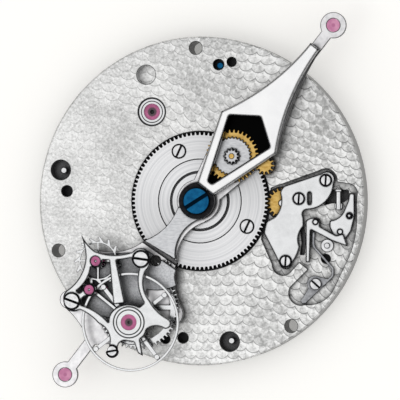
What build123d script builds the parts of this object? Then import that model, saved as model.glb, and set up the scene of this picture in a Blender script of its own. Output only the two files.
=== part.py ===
from build123d import *
import os
from math import atan2, cos, degrees, hypot, radians, sin

os.makedirs("parts", exist_ok=True)

# Mechanical watch movement whose long hand carries the gear train, the escapement and the balance.
# Millimetres. The origin is the centre of the back face, and +Z points to the dial side.
# Names ending in px are places or sizes read off the photograph, which photo_scale turns into millimetres.

# Main plate, barrel space and back cover
plate_radius = 17.5
plate_thickness = 3.4
plate_edge_bevel = 0.12
barrel_space_share = 0.7657
barrel_space_radius = barrel_space_share * plate_radius
barrel_space_top = 2.1
cover_share = 0.862
cover_radius = cover_share * plate_radius
cover_thickness = 0.45
cover_screw_distance = (barrel_space_radius + cover_radius) / 2
cover_screw_head_radius = 0.6
cover_screw_shank_radius = 0.3
cover_screw_shank_length = 1.2
cover_screw_count = 3
recess_depth = 0.45
pocket_depth = 0.75

# Fits and small standard sizes
running_gap = 0.03
seat_gap = 0.02
wide_gap = 0.1
cut_overrun = 0.5
slot_share = 0.2
slot_depth = 0.18
sunk_depth = 0.14
head_thickness = 0.24
small_bevel = 0.08

# Photograph frame: the plate's rim in the picture, and how far height moves a point to the left
disc_x_px = 200.5
disc_y_px = 201.0
disc_radius_px = 164.5
photo_scale = plate_radius / disc_radius_px
photo_lean = 0.165

# Gears: one module for every toothed piece
addendum_share = 0.9
dedendum_share = 1.2
root_half_share = 0.27
tip_half_share = 0.12
centre_teeth = 96
centre_pitch_px = 135.36
gear_module = centre_pitch_px * photo_scale / centre_teeth
setting_teeth = 20
drive_teeth = 10
large_teeth = 58
idler_teeth = 10
escape_pinion_teeth = 8
hand_drive_teeth = 12
hand_wheel_teeth = 36

# Levels along Z
centre_wheel_lift = 0.08
centre_wheel_rise = 0.45
pinion_lift = 0.15
setting_bridge_lift = 0.17
bridge_thickness = 0.28
arm_lift = 1.0
arm_thickness = 0.45
tail_thickness = 0.42
upper_gear_gap = 0.08
upper_gear_thickness = 0.22
lower_cock_lift = 0.42
lower_cock_thickness = 0.25
fork_lift = 0.12
fork_thickness = 0.16
roller_thickness = 0.14
rim_lift = 0.62
rim_thickness = 0.32
hairspring_lift = 1.08
hairspring_height = 0.16
star_lift = 1.35
star_thickness = 0.34
cover_plate_lift = 2.6
cover_plate_thickness = 0.42

# Arm and hands
arm_angle = 52.1
ring_distance = 23.45
ring_radius = 1.38
ruby_radius = 0.7
stalk_half_width = 0.6
arm_hub_radius = 2.3
collar_radius = 1.9
centre_screw_radius = 1.4
centre_arbor_radius = 0.8
drive_angle = 243.0
large_angle = 235.6
escape_angle = 130.1
hand_wheel_distance_px = 56.4
hand_wheel_distance = hand_wheel_distance_px * photo_scale
setting_angle = -1.5
stud_radius = 0.2
arbor_radius = 0.22

# Balance and escapement
balance_x_px = 128.4
balance_y_px = 321.4
balance_radius_px = 49.25
balance_radius = balance_radius_px * photo_scale
rim_width = 0.26
balance_arm_count = 4
balance_arm_width = 0.42
balance_hub_radius = 0.62
staff_radius = 0.2
roller_radius = 0.75
weight_radius = 0.28
escape_wheel_radius_px = 24.4
escape_wheel_radius = escape_wheel_radius_px * photo_scale
escape_wheel_teeth = 15
hairspring_inner_radius = 0.55
hairspring_step = 0.26
hairspring_half_turns = 8
hairspring_thickness = 0.08

recess_floor = plate_thickness - recess_depth
pocket_floor = plate_thickness - pocket_depth
centre_wheel_low = pocket_floor + centre_wheel_lift
centre_wheel_high = plate_thickness + centre_wheel_rise
pinion_low = plate_thickness + pinion_lift
bridge_low = recess_floor + setting_bridge_lift
arm_low = plate_thickness + arm_lift
cover_plate_low = plate_thickness + cover_plate_lift
arm_top = arm_low + arm_thickness
tail_top = arm_top + tail_thickness
upper_gear_low = arm_top + upper_gear_gap
upper_gear_top = upper_gear_low + upper_gear_thickness
cock_low = arm_top + lower_cock_lift
cock_top = cock_low + lower_cock_thickness
star_low = cock_top + star_lift
star_top = star_low + star_thickness
cover_plate_top = cover_plate_low + cover_plate_thickness


def spot(x_px, y_px, level=plate_thickness):
    """Turn a place in the photograph into millimetres for a feature at the given height."""
    x = (x_px - disc_x_px) * photo_scale + (level - plate_thickness) * photo_lean
    y = (disc_y_px - y_px) * photo_scale
    return (x, y)


def size(length_px):
    return length_px * photo_scale


def polar(start, distance, angle):
    """The point at a distance and an angle in degrees from another point."""
    return (start[0] + distance * cos(radians(angle)), start[1] + distance * sin(radians(angle)))


def along_arm(along, across, angle=arm_angle):
    """A point given along the hand from the centre, and across it to its right."""
    return polar(polar((0, 0), along, angle), across, angle - 90)


def outline(start, moves, place):
    """A face from lines and arcs; a move of four numbers is an arc through its first point."""
    edges = []
    last = place(*start)
    for move in [*moves, start]:
        end = place(*move[-2:])
        if len(move) == 4:
            edges.append(ThreePointArc(last, place(*move[:2]), end))
        elif hypot(end[0] - last[0], end[1] - last[1]) > 0:
            edges.append(Line(last, end))
        last = end
    return make_face(edges)


def photo_outline(places_px, level):
    return outline(places_px[0], places_px[1:], lambda x_px, y_px: spot(x_px, y_px, level))


def circle_at(point, radius):
    return Pos(point[0], point[1]) * Circle(radius)


def slab(face, low, high):
    return extrude(Pos(0, 0, low) * face, amount=high - low, dir=(0, 0, 1))


def disc(point, radius, low, high):
    return slab(circle_at(point, radius), low, high)


def tube(point, outer, inner, low, high):
    return slab(circle_at(point, outer) - circle_at(point, inner), low, high)


def bar(start, end, width):
    """A straight strip between two points with the given width."""
    length = hypot(end[0] - start[0], end[1] - start[1])
    turn = degrees(atan2(end[1] - start[1], end[0] - start[0]))
    middle = ((start[0] + end[0]) / 2, (start[1] + end[1]) / 2)
    return Pos(middle[0], middle[1]) * Rot(0, 0, turn) * Rectangle(length, width)


def screw(point, head_radius, seat, slot_angle, shank_radius=0, shank_length=0):
    """A slotted screw whose head stands on the seat, with a shank below it."""
    head_top = seat + head_thickness
    body = disc(point, head_radius, seat, head_top)
    if shank_length > 0:
        body += disc(point, shank_radius, seat - shank_length, seat)
    reach = head_radius + cut_overrun
    slot = bar(polar(point, reach, slot_angle), polar(point, reach, slot_angle + 180),
               slot_share * head_radius)
    return body - slab(slot, head_top - slot_depth, head_top + cut_overrun)


def pitch_radius(teeth):
    return teeth * gear_module / 2


def tip_radius(teeth):
    return pitch_radius(teeth) + addendum_share * gear_module


def root_radius(teeth):
    return pitch_radius(teeth) - dedendum_share * gear_module


def gear_face(point, teeth, phase):
    """A toothed outline with thin straight-sided teeth, which leave backlash in each mesh."""
    step = 360 / teeth
    corners = []
    for number in range(teeth):
        middle = phase + number * step
        for radius, turn_share in (
            (root_radius(teeth), -root_half_share),
            (tip_radius(teeth), -tip_half_share),
            (tip_radius(teeth), tip_half_share),
            (root_radius(teeth), root_half_share),
        ):
            corners.append(polar(point, radius, middle + turn_share * step))
    return make_face(Polyline(corners, close=True))


def mesh_phase(angle, teeth, phase, follower_teeth):
    """The tooth angle of a follower that lies at this angle from its driver, in mesh with it."""
    driver_share = teeth * (phase - angle) / 360 + 1 / 2
    return angle + 180 - 360 / follower_teeth * driver_share


def crossings(point, outer, inner, arm_width, count, phase):
    """The open sectors between the arms of a wheel."""
    opening = circle_at(point, outer) - circle_at(point, inner)
    for number in range(count):
        opening -= bar(point, polar(point, outer + cut_overrun, phase + number * 360 / count), arm_width)
    return opening


# Gear places and tooth phases, from the centre outwards
centre = (0, 0)
centre_phase = 0
setting_spot = polar(centre, pitch_radius(centre_teeth) + pitch_radius(setting_teeth), setting_angle)
setting_phase = mesh_phase(setting_angle, centre_teeth, centre_phase, setting_teeth)
drive_spot = polar(centre, pitch_radius(centre_teeth) + pitch_radius(drive_teeth), drive_angle)
drive_phase = mesh_phase(drive_angle, centre_teeth, centre_phase, drive_teeth)
large_spot = polar(drive_spot, pitch_radius(drive_teeth) + pitch_radius(large_teeth), large_angle)
large_phase = mesh_phase(large_angle, drive_teeth, drive_phase, large_teeth)
idler_spot = polar(large_spot, pitch_radius(large_teeth) + pitch_radius(idler_teeth), escape_angle)
idler_phase = mesh_phase(escape_angle, large_teeth, large_phase, idler_teeth)
escape_spot = polar(idler_spot, pitch_radius(idler_teeth) + pitch_radius(escape_pinion_teeth), escape_angle)
escape_phase = mesh_phase(escape_angle, idler_teeth, idler_phase, escape_pinion_teeth)

hand_wheel_spot = polar(centre, hand_wheel_distance, arm_angle)
hand_drive_distance = pitch_radius(centre_teeth) + pitch_radius(hand_drive_teeth)
hand_pair_distance = pitch_radius(hand_wheel_teeth) + pitch_radius(hand_drive_teeth)
hand_drive_along = (hand_drive_distance**2 + hand_wheel_distance**2 - hand_pair_distance**2) / (
    2 * hand_wheel_distance
)
hand_drive_across = (hand_drive_distance**2 - hand_drive_along**2) ** (1 / 2)
hand_drive_spot = along_arm(hand_drive_along, hand_drive_across)
hand_drive_angle = degrees(atan2(hand_drive_spot[1], hand_drive_spot[0]))
hand_drive_phase = mesh_phase(hand_drive_angle, centre_teeth, centre_phase, hand_drive_teeth)
hand_wheel_angle = degrees(
    atan2(hand_wheel_spot[1] - hand_drive_spot[1], hand_wheel_spot[0] - hand_drive_spot[0])
)
hand_wheel_phase = mesh_phase(hand_wheel_angle, hand_drive_teeth, hand_drive_phase, hand_wheel_teeth)

balance_spot = spot(balance_x_px, balance_y_px, star_top)
hand_ring_spot = polar(centre, ring_distance, arm_angle)
tail_ring_spot = polar(centre, ring_distance, arm_angle + 180)

# Screws of the setting bridge and of the balance bridge, and the bridge's posts
bridge_top = bridge_low + bridge_thickness
bridge_screw_places_px = [(326.7, 180.4), (299.7, 198.6), (286.4, 261.0)]
bridge_screw_head_radius = 0.54
screw_ring_gap = 0.08
bridge_screw_slot_angle = 86
bridge_post_radius = 0.62
bridge_posts_used = (0, 2)
bridge_screw_spots = [spot(*place, bridge_top) for place in bridge_screw_places_px]

star_screw_places_px = [(140.6, 258.5), (70.5, 300.5), (111.4, 350.0)]
star_screw_head_radii = [0.8, 0.8, 0.54]
star_screw_slot_angles = [-8, -20, 10]
star_screw_spots = [spot(*place, star_top) for place in star_screw_places_px]
pillar_radius = 0.45


# Main plate
through_holes_px = [(195.6, 47.9, 6.5), (55.5, 250.8, 6.5), (292.0, 325.5, 6.5)]
blind_holes_px = [
    (218.8, 64.7, 5.4),
    (232.0, 62.1, 4.7),
    (145.2, 74.4, 9.6),
    (57.9, 169.7, 10.0),
    (64.2, 191.0, 5.6),
    (165.1, 339.4, 4.5),
    (182.8, 337.9, 5.4),
    (230.0, 341.4, 9.9),
    (326.3, 258.5, 4.6),
]
blind_hole_depth = 1.5
jewel_x_px = 151.0
jewel_y_px = 111.6
jewel_sink_radius = 1.5
jewel_sink_depth = 0.25
jewel_seat_radius = 0.98
jewel_hole_radius = 0.24
jewel_thickness = 0.4
centre_bush_gap = 0.04

recess_outline_px = [
    (272, 188),
    (320, 171),
    (333, 171, 338, 182),
    (350, 184),
    (356.5, 188, 357.5, 197),
    (357.5, 217),
    (355, 240, 347, 262),
    (336, 285),
    (324, 300, 306, 304),
    (292, 300, 291, 287),
    (309, 269),
    (300, 262),
    (290, 273),
    (279, 274, 273, 264),
    (262, 239),
]
deep_pocket_px = [(324.5, 205.0), (329.5, 197.5), (334.0, 190.0), (349.0, 190.5), (349.0, 198.5),
                  (344.0, 202.0), (332.0, 203.0)]
deep_pocket_depth = 1.0
gap_pocket_px = [(300.8, 230.5), (304.4, 226.0), (306.0, 240.0), (304.6, 254.5), (300.6, 254.5),
                 (302.2, 243.0)]
gap_pocket_depth = 0.55


def recess_face():
    """The milled space on the right that holds the setting works."""
    return photo_outline(recess_outline_px, plate_thickness)


def build_main_plate():
    plate = disc(centre, plate_radius, 0, plate_thickness)
    rim = plate.faces().sort_by(Axis.Z)[-1].edges()
    plate = chamfer(rim, plate_edge_bevel)
    plate -= disc(centre, barrel_space_radius, 0, barrel_space_top)
    plate -= disc(centre, cover_radius + seat_gap, 0, cover_thickness)
    plate -= disc(centre, centre_arbor_radius + centre_bush_gap, 0, plate_thickness + cut_overrun)
    for x_px, y_px, radius_px in through_holes_px:
        plate -= disc(spot(x_px, y_px), size(radius_px), -cut_overrun, plate_thickness + cut_overrun)
    for x_px, y_px, radius_px in blind_holes_px:
        low = plate_thickness - blind_hole_depth
        plate -= disc(spot(x_px, y_px), size(radius_px), low, plate_thickness + cut_overrun)
    jewel = spot(jewel_x_px, jewel_y_px)
    plate -= disc(jewel, jewel_sink_radius, plate_thickness - jewel_sink_depth, plate_thickness + cut_overrun)
    seat_low = plate_thickness - jewel_sink_depth - jewel_thickness
    plate -= disc(jewel, jewel_seat_radius + seat_gap, seat_low, plate_thickness)
    plate -= slab(recess_face(), recess_floor, plate_thickness + cut_overrun)
    for places_px, depth in ((deep_pocket_px, deep_pocket_depth), (gap_pocket_px, gap_pocket_depth)):
        corners = Polyline([spot(*place) for place in places_px], close=True)
        plate -= slab(make_face(corners), recess_floor - depth, plate_thickness + cut_overrun)
    pocket = circle_at(centre, tip_radius(centre_teeth) + wide_gap)
    pocket += circle_at(setting_spot, tip_radius(setting_teeth) + wide_gap)
    plate -= slab(pocket, pocket_floor, plate_thickness + cut_overrun)
    for number in range(cover_screw_count):
        place = polar(centre, cover_screw_distance, 90 + number * 360 / cover_screw_count)
        top = head_thickness + cover_screw_shank_length + wide_gap
        plate -= disc(place, cover_screw_shank_radius + seat_gap, 0, top)
    return plate


def build_back_cover():
    cover = disc(centre, cover_radius, 0, cover_thickness)
    for number in range(cover_screw_count):
        place = polar(centre, cover_screw_distance, 90 + number * 360 / cover_screw_count)
        cover -= disc(place, cover_screw_head_radius + seat_gap, 0, head_thickness)
        cover -= disc(place, cover_screw_shank_radius + seat_gap, 0, cover_thickness)
    return cover


def build_back_cover_screws():
    """Screws that enter from the back, so each is turned over about its head's face."""
    screws = []
    for number in range(cover_screw_count):
        place = polar(centre, cover_screw_distance, 90 + number * 360 / cover_screw_count)
        upright = screw(centre, cover_screw_head_radius, 0, 30, cover_screw_shank_radius,
                        cover_screw_shank_length)
        screws.append(Pos(place[0], place[1], head_thickness) * Rot(180, 0, 0) * upright)
    return screws


# Barrel under the plate
barrel_low = cover_thickness + wide_gap
barrel_top = barrel_space_top - wide_gap
barrel_gap = 0.5
barrel_radius = barrel_space_radius - barrel_gap
barrel_wall = 0.5
barrel_floor = 0.3
core_radius = 2.2
spring_pack_gap = 0.4
spring_outer_radius = barrel_radius - barrel_wall - spring_pack_gap
spring_inner_radius = core_radius + wide_gap / 2


def build_barrel_drum():
    drum = disc(centre, barrel_radius, barrel_low, barrel_top)
    drum -= disc(centre, barrel_radius - barrel_wall, barrel_low + barrel_floor, barrel_top)
    return drum - disc(centre, centre_arbor_radius + centre_bush_gap, barrel_low, barrel_top)


def build_barrel_lid():
    radius = barrel_radius - barrel_wall - seat_gap
    return tube(centre, radius, centre_arbor_radius + centre_bush_gap, barrel_top - barrel_floor, barrel_top)


def build_mainspring():
    """The wound pack of the mainspring, which the drum and its lid hide."""
    low = barrel_low + barrel_floor
    high = barrel_top - barrel_floor
    return tube(centre, spring_outer_radius, spring_inner_radius, low, high)


def build_plate_jewel():
    place = spot(jewel_x_px, jewel_y_px)
    high = plate_thickness - jewel_sink_depth
    return tube(place, jewel_seat_radius, jewel_hole_radius, high - jewel_thickness, high)


def build_plate_jewel_setting():
    place = spot(jewel_x_px, jewel_y_px)
    low = plate_thickness - jewel_sink_depth
    return tube(place, jewel_sink_radius - seat_gap, jewel_seat_radius - wide_gap, low,
                plate_thickness - wide_gap)


sunk_pins_px = [(59.8, 170.1), (231.0, 340.8)]
pin_radius = 0.32
pin_height = 0.9


def build_sunk_pins():
    """The pins that stand in the two wide sunk holes."""
    low = plate_thickness - blind_hole_depth
    return [disc(spot(x_px, y_px), pin_radius, low, low + pin_height) for x_px, y_px in sunk_pins_px]


blued_pin_px = (219.2, 65.4)
blued_pin_radius = 0.36
blued_pin_height = 0.7


def build_blued_pin():
    low = plate_thickness - blind_hole_depth
    return disc(spot(*blued_pin_px), blued_pin_radius, low, low + blued_pin_height)


# Centre wheel with its stepped hub
hub_step_radii_px = [43.7, 28.2]
hub_step_radii = [size(radius_px) for radius_px in hub_step_radii_px]
hub_step_height = 0.1
hub_groove_width = 0.16
wheel_screw_distance_px = 54.0
wheel_screw_distance = size(wheel_screw_distance_px)
wheel_screw_angles = [113, -28, 231]
wheel_screw_head_radius = 0.68


def build_centre_wheel():
    high = centre_wheel_high
    wheel = slab(gear_face(centre, centre_teeth, centre_phase), centre_wheel_low, high)
    for angle in wheel_screw_angles:
        place = polar(centre, wheel_screw_distance, angle)
        wheel -= disc(place, wheel_screw_head_radius + wide_gap, high - sunk_depth, high)
    return wheel - disc(centre, hub_step_radii[0] - hub_groove_width, centre_wheel_low, high)


def build_centre_hub():
    """The stepped hub inside the toothed ring, with a bearing for the central arbor."""
    high = centre_wheel_high
    hub = disc(centre, hub_step_radii[0] - hub_groove_width - seat_gap, centre_wheel_low, high)
    hub += disc(centre, hub_step_radii[1], high, high + hub_step_height)
    hub -= tube(centre, hub_step_radii[1] + hub_groove_width, hub_step_radii[1], high - sunk_depth, high)
    return hub - disc(centre, centre_arbor_radius + centre_bush_gap, 0, high + cut_overrun)


def build_centre_wheel_screws():
    seat = centre_wheel_high - sunk_depth
    places = [polar(centre, wheel_screw_distance, angle) for angle in wheel_screw_angles]
    return [screw(place, wheel_screw_head_radius, seat, 65) for place in places]


# Setting works on the right
setting_wheel_thickness = 0.3
slot_places_px = [(310.4, 198.3)]
slot_length = 1.35
slot_opening_width = 0.36
setting_stud_radius = 0.35
setting_bore_radius = setting_stud_radius + running_gap


def build_setting_wheel():
    face = gear_face(setting_spot, setting_teeth, setting_phase)
    face -= circle_at(setting_spot, setting_bore_radius)
    return slab(face, centre_wheel_low, centre_wheel_low + setting_wheel_thickness)


def build_setting_stud():
    return disc(setting_spot, setting_stud_radius, pocket_floor, bridge_low)


setting_bridge_outline_px = [
    (265.0, 230.0),
    (267.0, 221.5),
    (275.5, 217.0),
    (281.5, 206.0, 281.0, 193.0),
    (283.5, 187.6, 289.0, 184.8),
    (322.5, 173.6),
    (334.4, 175.4, 334.6, 183.5),
    (329.0, 199.0, 307.5, 209.5),
    (303.8, 212.0, 304.2, 217.0),
    (304.6, 226.0),
    (300.0, 233.0, 300.5, 246.5),
    (297.0, 256.0, 292.5, 263.5),
    (287.0, 269.0, 280.6, 264.6),
    (276.5, 256.0),
    (264.6, 233.0),
]


def build_setting_bridge():
    face = photo_outline(setting_bridge_outline_px, bridge_top)
    for place in slot_places_px:
        middle = spot(*place, bridge_top)
        face -= Pos(middle[0], middle[1]) * Rot(0, 0, 90) * SlotOverall(slot_length, slot_opening_width)
    face -= circle_at(centre, tip_radius(centre_teeth) + wide_gap)
    bridge = slab(face, bridge_low, bridge_top)
    for number, place in enumerate(bridge_screw_spots):
        if number in bridge_posts_used:
            bridge += disc(place, bridge_post_radius, recess_floor, bridge_low)
        bridge -= disc(place, bridge_screw_head_radius + screw_ring_gap, bridge_top - sunk_depth, bridge_top)
    return bridge


def build_setting_bridge_screws():
    seat = bridge_top - sunk_depth
    return [
        screw(place, bridge_screw_head_radius, seat, bridge_screw_slot_angle) for place in bridge_screw_spots
    ]


lever_lift = 0.06
lever_level = recess_floor + lever_lift
rocker_thickness = 0.34
rocker_low = lever_level
rocker_top = rocker_low + rocker_thickness
rocker_pivot_px = (341.0, 231.5)
rocker_pin_px = (350.4, 215.6)
pin_ring_depth = 0.14
index_pivot_px = (316.2, 221.8)
index_lift = 0.05
index_low = rocker_top + index_lift
index_thickness = 0.26
index_top = index_low + index_thickness
eye_post_px = (327.8, 245.4)
eye_post_radius = 0.3
eye_radius = 0.68
pivot_pin_radius = 0.24
spring_screw_px = (316.6, 283.6)
spring_thickness = 0.24
spring_height = 0.34
adjuster_px = (339.3, 199.0)
adjuster_radius = 0.26
adjuster_length = 2.3
adjuster_block_width = 0.8
adjuster_block_length = 0.6
adjuster_block_shift = 0.75
adjuster_collar_radius = 0.4
adjuster_collar_length = 0.25

rocker_lever_outline_px = [
    (350.4, 193.2),
    (355.4, 193.6),
    (355.6, 216.5),
    (352.0, 231.0),
    (347.0, 238.0),
    (340.0, 239.0, 334.5, 235.0),
    (330.5, 227.0),
    (330.5, 220.5),
    (340.0, 217.0, 345.6, 209.0),
    (349.0, 201.0),
]


def build_rocker_lever():
    face = photo_outline(rocker_lever_outline_px, rocker_top)
    lever = slab(face, rocker_low, rocker_top)
    pivot = spot(*rocker_pivot_px, rocker_top)
    lever -= disc(pivot, pivot_pin_radius + running_gap, rocker_low, rocker_top)
    pin = spot(*rocker_pin_px, rocker_top)
    lever -= disc(pin, pivot_pin_radius + screw_ring_gap, rocker_top - pin_ring_depth, rocker_top)
    return lever + disc(pin, pivot_pin_radius, rocker_top - pin_ring_depth, index_top)


index_lever_outline_px = [
    (306.5, 221.0),
    (311.0, 218.0, 315.0, 217.6),
    (320.5, 221.0, 320.0, 226.0),
    (337.0, 235.4),
    (344.0, 233.5),
    (348.6, 246.2),
    (333.0, 240.6),
    (311.5, 229.4),
    (310.5, 262.0),
    (306.5, 262.0),
]


def build_index_lever():
    """The arrow-shaped blade and its straight stem, which turn on one post over the rocker."""
    face = photo_outline(index_lever_outline_px, index_top)
    lever = slab(face, index_low, index_top)
    pivot = spot(*index_pivot_px, index_top)
    return lever - disc(pivot, pivot_pin_radius + running_gap, index_low, index_top)


def build_lever_posts():
    """The pivot pins of both levers and the eye post beside them, all fixed in the recess floor."""
    rocker_pin = disc(spot(*rocker_pivot_px, rocker_top), pivot_pin_radius, recess_floor, rocker_top)
    index_pin = disc(spot(*index_pivot_px, index_top), pivot_pin_radius, recess_floor, index_top)
    index_pin += disc(spot(*index_pivot_px, index_top), pivot_pin_radius * 2, recess_floor, lever_level)
    eye = spot(*eye_post_px, index_low)
    post = disc(eye, eye_post_radius, recess_floor, index_low - running_gap)
    post += disc(eye, eye_radius, recess_floor, lever_level + wide_gap)
    return [rocker_pin, index_pin, post]


lever_spring_outline_px = [
    (304.6, 303.0),
    (301.6, 300.5, 303.5, 297.5),
    (309.0, 288.0),
    (311.0, 277.0, 320.0, 276.5),
    (329.6, 278.8),
]
spring_route_px = [(314.5, 232.0), (314.0, 246.0), (333.6, 268.0), (333.4, 275.5), (305.0, 302.4)]
spring_bend_radii = [1.0, 0.35, 0.35]
spring_screw_shank_radius = 0.3


def build_lever_spring():
    """The S-shaped blade spring with its screwed foot."""
    level = lever_level + spring_height
    route = [spot(x_px, y_px, level) for x_px, y_px in spring_route_px]
    path = FilletPolyline(*route, radius=spring_bend_radii)
    section_plane = Plane(origin=path @ 0, x_dir=(0, 0, 1), z_dir=path % 0)
    blade = sweep(section_plane * Rectangle(spring_height, spring_thickness), path=path)
    blade = Pos(0, 0, recess_floor + spring_height / 2) * blade
    foot = photo_outline(lever_spring_outline_px, level)
    foot = slab(foot, recess_floor, recess_floor + spring_height)
    return foot + blade - disc(spot(*spring_screw_px, level), spring_screw_shank_radius, 0, plate_thickness)


spring_screw_head_radius = 0.6


def build_spring_screw():
    place = spot(*spring_screw_px, lever_level + spring_height)
    return screw(place, spring_screw_head_radius, recess_floor + spring_height, -42)


def build_adjusting_screw():
    """A small screw lying in the recess, with its collar and the block it turns in."""
    x, y = spot(*adjuster_px)
    height = recess_floor + adjuster_collar_radius
    lying = Pos(x, y, height) * Rot(90, 0, 0)
    body = lying * Cylinder(adjuster_radius, adjuster_length)
    body += Pos(0, adjuster_length / 2 - adjuster_collar_length, 0) * (
        lying * Cylinder(adjuster_collar_radius, adjuster_collar_length)
    )
    return body + Pos(x, y - adjuster_block_shift, recess_floor + adjuster_collar_radius / 2) * Box(
        adjuster_block_width, adjuster_block_length, adjuster_collar_radius
    )


# Carousel: arm, hands and central fastening
arm_inner_half_width = 1.4
arm_wide_along = 9.3
arm_wide_half_width = 3.55
arm_waist_along = 14.0
arm_waist_half_width = 1.75
arm_neck_along = 19.6
arm_window_low = 6.6
arm_window_wide = 9.3
arm_window_high = 11.6
arm_window_half_width = 2.3
platform_hole_px = (155.4, 260.4, 5.0)
tail_groove_px = [(141.0, 239.0), (178.0, 264.5)]
tail_groove_width = 0.42
tail_groove_depth = 0.36


def hand_side_face():
    """The arm under the hand cover, from the hub to the neck of its ring."""
    return outline(
        (0, -arm_inner_half_width),
        [
            (arm_wide_along, -arm_wide_half_width),
            (arm_waist_along, -arm_waist_half_width, arm_neck_along, -stalk_half_width),
            (ring_distance, -stalk_half_width),
            (ring_distance, stalk_half_width),
            (arm_neck_along, stalk_half_width),
            (arm_waist_along, arm_waist_half_width, arm_wide_along, arm_wide_half_width),
            (0, arm_inner_half_width),
        ],
        along_arm,
    )


platform_outline_px = [
    (176.5, 262.0),
    (174.0, 285.0, 180.5, 306.0),
    (179.5, 322.0, 166.0, 325.0),
    (146.0, 326.0, 128.0, 338.0),
    (112.0, 344.0),
    (88.0, 345.0),
    (76.0, 322.0, 64.0, 309.0),
    (57.5, 299.0, 65.0, 290.5),
    (80.0, 277.0, 85.0, 258.0),
    (89.0, 251.0, 96.0, 250.0),
    (120.0, 251.0, 144.0, 240.0),
    (163.0, 229.0, 178.0, 208.0),
    (206.0, 222.0),
    (182.0, 240.0, 176.5, 262.0),
]


def platform_face():
    """The broad part of the arm under the balance bridge, with the neck that joins it to the hub."""
    return photo_outline(platform_outline_px, arm_top)


hand_boss_radius = 0.9
staff_pivot_radius = 0.12


def build_carousel_arm():
    face = hand_side_face() + platform_face() + circle_at(centre, arm_hub_radius)
    face += circle_at(hand_drive_spot, hand_boss_radius)
    face += bar(centre, tail_ring_spot, 2 * stalk_half_width)
    face += circle_at(hand_ring_spot, ring_radius) + circle_at(tail_ring_spot, ring_radius)
    window = outline(
        (arm_window_low, 0),
        [
            (arm_window_wide, -arm_window_half_width),
            (arm_window_high, 0),
            (arm_window_wide, arm_window_half_width),
        ],
        along_arm,
    )
    face -= window
    face -= circle_at(hand_ring_spot, ruby_radius + seat_gap) + circle_at(tail_ring_spot,
                                                                          ruby_radius + seat_gap)
    face -= circle_at(centre, centre_arbor_radius + seat_gap)
    face -= circle_at(drive_spot, arbor_radius + running_gap)
    face -= circle_at(hand_drive_spot, arbor_radius + running_gap)
    face -= circle_at(escape_spot, staff_pivot_radius + running_gap)
    face -= circle_at(spot(*platform_hole_px[:2], arm_top), size(platform_hole_px[2]))
    groove = bar(*[spot(*place, arm_top) for place in tail_groove_px], tail_groove_width)
    return slab(face, arm_low, arm_top) - slab(groove, arm_top - tail_groove_depth, arm_top)


def build_ring_ruby(place):
    return disc(place, ruby_radius, arm_low, arm_top)


hand_tail_outline_px = [
    (143.5, 240.5),
    (163.0, 229.0, 177.5, 208.0),
    (197.0, 201.0),
    (203.0, 218.0),
    (178.0, 239.0, 175.0, 259.0),
]


def build_hand_tail():
    """The flared upper bar between the centre and the platform."""
    face = photo_outline(hand_tail_outline_px, tail_top)
    face += circle_at(centre, collar_radius + small_bevel)
    return slab(face - circle_at(centre, centre_arbor_radius + seat_gap), arm_top, tail_top)


well_low_along = 2.05
well_low_half_width = 0.85
well_wide_along = 9.2
well_half_width = 3.3
well_high_along = 11.9
well_thickness = 0.04


def build_hand_well():
    """The thin dark floor under the hand's wheels."""
    face = outline(
        (well_low_along, -well_low_half_width),
        [
            (well_wide_along, -well_half_width),
            (well_high_along, 0),
            (well_wide_along, well_half_width),
            (well_low_along, well_low_half_width),
        ],
        along_arm,
    )
    face -= circle_at(hand_wheel_spot, stud_radius + seat_gap)
    face -= circle_at(hand_drive_spot, arbor_radius + running_gap)
    return slab(face, arm_top, arm_top + well_thickness)


def build_centre_collar():
    return tube(centre, collar_radius, centre_arbor_radius + seat_gap, tail_top, cover_plate_low)


def build_centre_arbor():
    """The barrel's arbor, which runs up through the plate and carries the hand."""
    arbor = disc(centre, centre_arbor_radius, barrel_low, cover_plate_low)
    return arbor + disc(centre, core_radius, barrel_low + barrel_floor + wide_gap,
                        barrel_top - barrel_floor - wide_gap)


def build_centre_screw():
    return screw(centre, centre_screw_radius, cover_plate_low, 32)


cover_inner_along = 1.62
cover_inner_half_width = 1.1
cover_wide_along = 9.15
cover_wide_half_width = 3.68
cover_waist_along = 14.0
cover_waist_half_width = 1.62
cover_tip_along = 20.6
cover_tip_half_width = 0.58
cover_body_along = 12.2
cover_body_half_width = 2.0
cover_body_waist_along = 15.5
cover_body_waist_half_width = 1.12
cover_window_low = 2.5
cover_window_low_half_width = 0.25
cover_window_wide = 9.3
cover_window_half_width = 2.72
cover_window_high = 11.2
cover_bevel = 0.1


def build_hand_cover():
    """The polished frame over the hand's train, standing on its thick outer body."""
    face = outline(
        (cover_inner_along, -cover_inner_half_width),
        [
            (cover_wide_along, -cover_wide_half_width),
            (cover_waist_along, -cover_waist_half_width, cover_tip_along, -cover_tip_half_width),
            (cover_tip_along, cover_tip_half_width),
            (cover_waist_along, cover_waist_half_width, cover_wide_along, cover_wide_half_width),
            (cover_inner_along, cover_inner_half_width),
        ],
        along_arm,
    )
    window = outline(
        (cover_window_low, -cover_window_low_half_width),
        [
            (cover_window_wide, -cover_window_half_width),
            (cover_window_high, 0),
            (cover_window_wide, cover_window_half_width),
            (cover_window_low, cover_window_low_half_width),
        ],
        along_arm,
    )
    frame = slab(face, cover_plate_low, cover_plate_top)
    frame = chamfer(frame.faces().sort_by(Axis.Z)[-1].edges(), cover_bevel)
    frame -= slab(window, cover_plate_low, cover_plate_top)
    body = outline(
        (cover_body_along, -cover_body_half_width),
        [
            (cover_body_waist_along, -cover_body_waist_half_width, cover_tip_along,
             -cover_tip_half_width + wide_gap),
            (cover_tip_along, cover_tip_half_width - wide_gap),
            (cover_body_waist_along, cover_body_waist_half_width, cover_body_along, cover_body_half_width),
        ],
        along_arm,
    )
    return frame + slab(body, arm_top, cover_plate_low)


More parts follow.
